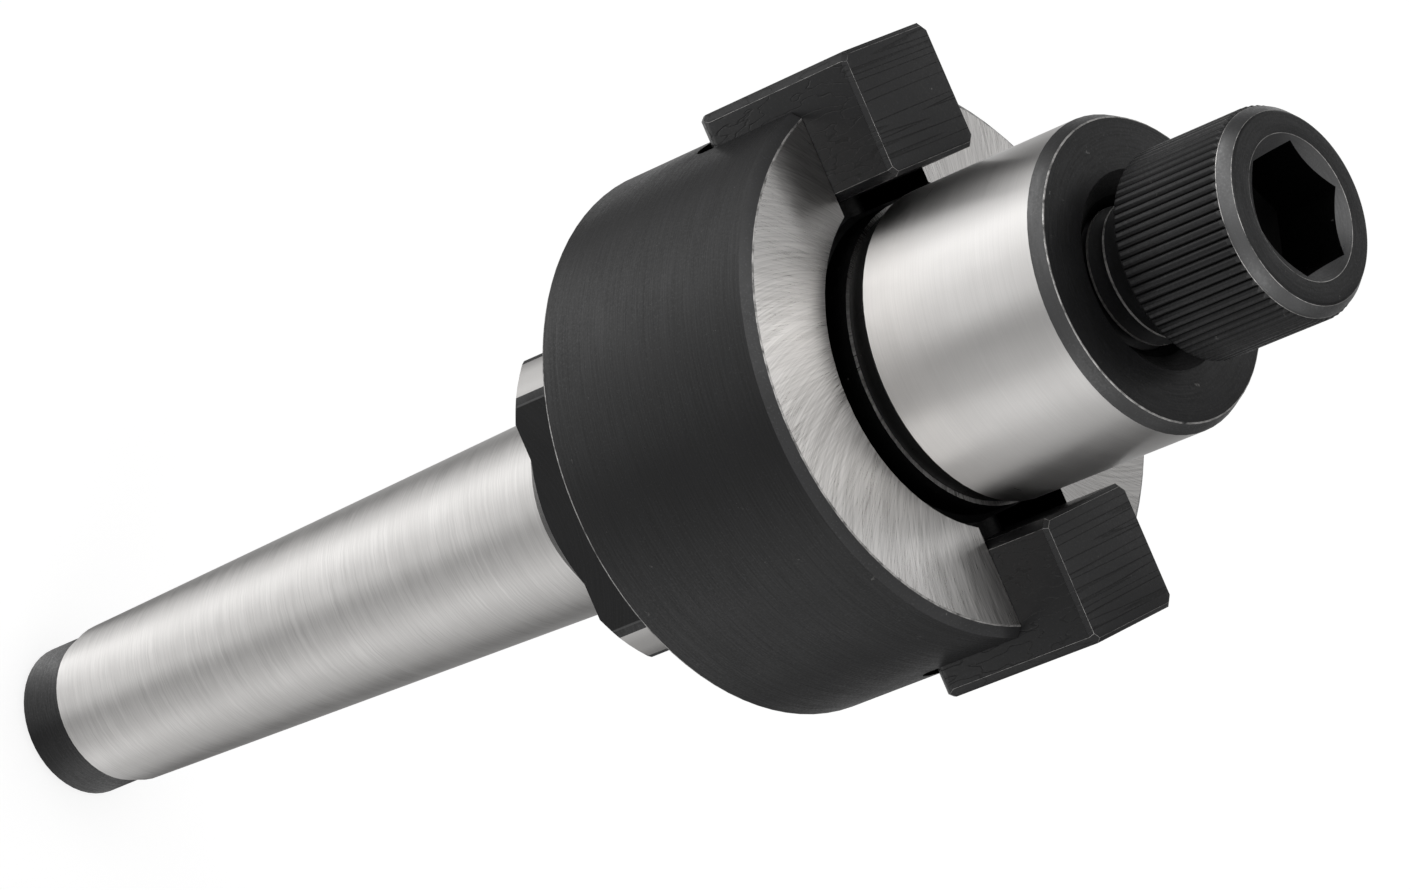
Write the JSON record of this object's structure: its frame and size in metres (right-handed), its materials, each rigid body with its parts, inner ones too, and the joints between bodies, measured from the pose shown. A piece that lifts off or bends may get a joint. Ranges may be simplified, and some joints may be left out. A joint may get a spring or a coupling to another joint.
{
  "type": "shell mill arbor",
  "caption": "Shell mill arbor: ground taper shank, square spanner collar, flange with drive keys across its face, short pilot and a knurled socket head screw in the nose.",
  "frame": {"origin": "centre of the small end face of the shank", "axes": "+Z along the arbor's axis from the shank to the nose, +X through drive_key_a"},
  "size_m": [0.052, 0.048, 0.148],
  "materials": {
    "ground_steel": "ground, with blackened collar, flange rim and nose",
    "blackened_steel": "black oxide, satin"
  },
  "bodies": {
    "arbor": {"arbor_body": "ground_steel", "drive_key_a": "blackened_steel", "drive_key_b": "blackened_steel", "key_screw_a": "blackened_steel", "key_screw_b": "blackened_steel"},
    "screw": {"retaining_screw": "blackened_steel"}
  },
  "joints": [
    {"name": "screw_travel", "type": "slide", "parent": "arbor", "child": "screw", "axis": [0, 0, 1], "range_m": [-0.0036, 0.022]}
  ]
}
